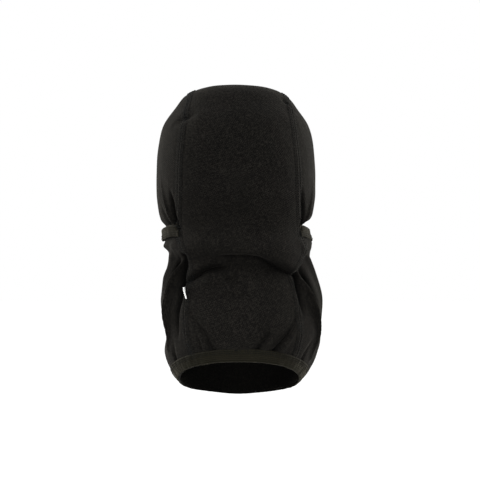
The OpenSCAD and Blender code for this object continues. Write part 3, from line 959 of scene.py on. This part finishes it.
def side_label():
    """A folded white tape with blank faces, caught by its ends in the left seam."""
    tall, out, loop = 11.5, 6.0, 0.6
    top = -56.5
    z = np.linspace(top - tall, top, 18)
    root = strip_at(1, z, 0.8)
    away = np.array([0.20, 0.98, 0.0])
    across = np.cross(away, [0, 0, 1])
    section = [(0, loop / 2), (out * 0.35, loop * 0.62), (out * 0.8, loop * 0.66), (out, loop * 0.30),
               (out + 0.25, 0), (out, -loop * 0.30), (out * 0.8, -loop * 0.66), (out * 0.35, -loop * 0.62),
               (0, -loop / 2)]
    bend = 0.5 * np.sin(np.linspace(0, math.pi, 18))[:, None]
    lean = np.linspace(-0.4, 2.6, 18)[:, None]
    grid = np.stack([root.mean(0) * [1, 1, 0] + [0, 0, 1] * z[:, None] + away * (d - 2.0)
                     + across * (o + lean + bend * d / out) for d, o in section], 1)
    return slab("label_tape", grid, 0.22)


# ---- camera, floor and light ----

# The camera's distance from the middle, the width it sees there and its height, in millimetres
DISTANCE, VIEW_W, VIEW_Z = 1150.0, 514.0, -8.7
# The floor's height, and the lights' places and sizes below, are in metres
FLOOR_Z = -0.42


def camera():
    data = bpy.data.cameras.new("camera")
    data.sensor_width = 36
    data.lens = data.sensor_width * DISTANCE / VIEW_W
    data.clip_end = 20
    made = bpy.data.objects.new("camera", data)
    made.location = (0, DISTANCE * MM, VIEW_Z * MM)
    made.rotation_euler = (math.pi / 2, 0, math.pi)
    bpy.context.scene.collection.objects.link(made)
    bpy.context.scene.camera = made


def area_light(name, place, size, power, aim=(0, 0, 0), tint=(1, 1, 1), spread=180):
    data = bpy.data.lights.new(name, "AREA")
    data.spread = math.radians(spread)
    data.shape, data.size, data.energy, data.color = "DISK", size, power, tint
    made = bpy.data.objects.new(name, data)
    made.location = place
    direction = np.array(aim, float) - np.array(place, float)
    made.rotation_euler = Vector(direction).to_track_quat("-Z", "Y").to_euler()
    bpy.context.scene.collection.objects.link(made)


def studio():
    world = bpy.data.worlds.new("studio")
    bpy.context.scene.world = world
    world.use_nodes = True
    world.node_tree.nodes["Background"].inputs["Color"].default_value = (1.0, 1.0, 1.0, 1)
    world.node_tree.nodes["Background"].inputs["Strength"].default_value = 1.0
    bpy.context.scene.view_settings.view_transform = "Standard"
    area_light("top", (0.1, 0.7, 1.4), 0.9, 50.0, (0, 0, 0))
    area_light("front", (-0.45, 1.35, 0.0), 0.9, 10.5, (0, 0, -0.05))
    area_light("low", (0.05, 0.8, -0.36), 0.25, 0.40, (0, 0.08, -0.12), spread=30)
    area_light("rim_left", (1.25, -0.5, 0.3), 0.9, 45.0, (0, 0, 0), (1, 0.96, 0.88))
    area_light("rim_right", (-1.25, -0.5, 0.3), 0.9, 45.0, (0, 0, 0), (1, 0.96, 0.88))
    bpy.ops.mesh.primitive_plane_add(size=12, location=(0, 0, FLOOR_Z))
    floor = bpy.context.object
    floor.name = "floor"
    white = bpy.data.materials.new("floor_white")
    white.use_nodes = True
    shader = white.node_tree.nodes["Principled BSDF"]
    shader.inputs["Base Color"].default_value = (0.12, 0.12, 0.12, 1)
    shader.inputs["Specular IOR Level"].default_value = 0.0
    shader.inputs["Emission Color"].default_value = (1.0, 1.0, 1.0, 1)
    shader.inputs["Emission Strength"].default_value = 0.95
    floor.data.materials.append(white)


# ---- the whole balaclava ----

MATERIALS = {"fleece": fleece_material(), "binding": tape_material(), "thread": thread_material(),
             "label": label_material()}


def finish_piece(obj, slot, replaced, moving=False):
    obj.data.materials.append(MATERIALS[slot])
    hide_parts(*replaced)
    if moving:
        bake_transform(obj)
    else:
        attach(obj, "hood")
    return obj


camera()
studio()
centre = finish_piece(centre_panel(), "fleece", ["centre_panel"])
left_hood = finish_piece(hood_panel(1), "fleece", ["left_hood_panel"])
right_hood = finish_piece(hood_panel(-1), "fleece", ["right_hood_panel"])
front = finish_piece(front_panel(), "fleece", ["neck_panel", "mask_panel"], moving=True)
TAPE_ROWS = np.linspace(0, BINDING_W, 16)
hem = finish_piece(tape("hem_tape", hem_grid(TAPE_ROWS), ring=True, inner=False), "binding", ["hem_binding"])
band = finish_piece(tape("mask_band_tape", band_grid(np.linspace(BAND_W, 0, 16))), "binding", ["mask_band"],
                    moving=True)
rim = finish_piece(tape("face_tape", rim_grid(np.linspace(-0.5, 8.5, 12))), "binding", ["face_binding"])
STITCH_ROWS = [BINDING_W - 4.2, BINDING_W - 1.8]
BAND_STITCH_ROWS = [4.2, 1.8]
hem_threads = finish_piece(tape_stitching("hem_threads", hem_grid(STITCH_ROWS), ring=True), "thread",
                           ["hem_stitching"])
band_threads = finish_piece(tape_stitching("mask_band_threads", band_grid(BAND_STITCH_ROWS)), "thread",
                            ["mask_stitching"], moving=True)
face_threads = finish_piece(tape_stitching("face_threads", rim_grid([5.0, 7.2])), "thread",
                            ["face_stitching"])
seams, tacks = [], []
for side, word in ((1, "left"), (-1, "right")):
    seams.append(finish_piece(seam_stitching(side), "thread", [f"{word}_seam_stitching"]))
    tacks.append(finish_piece(hinge_tack(side), "thread", [f"{word}_hinge_tack"]))
label = finish_piece(side_label(), "label", ["side_label"])
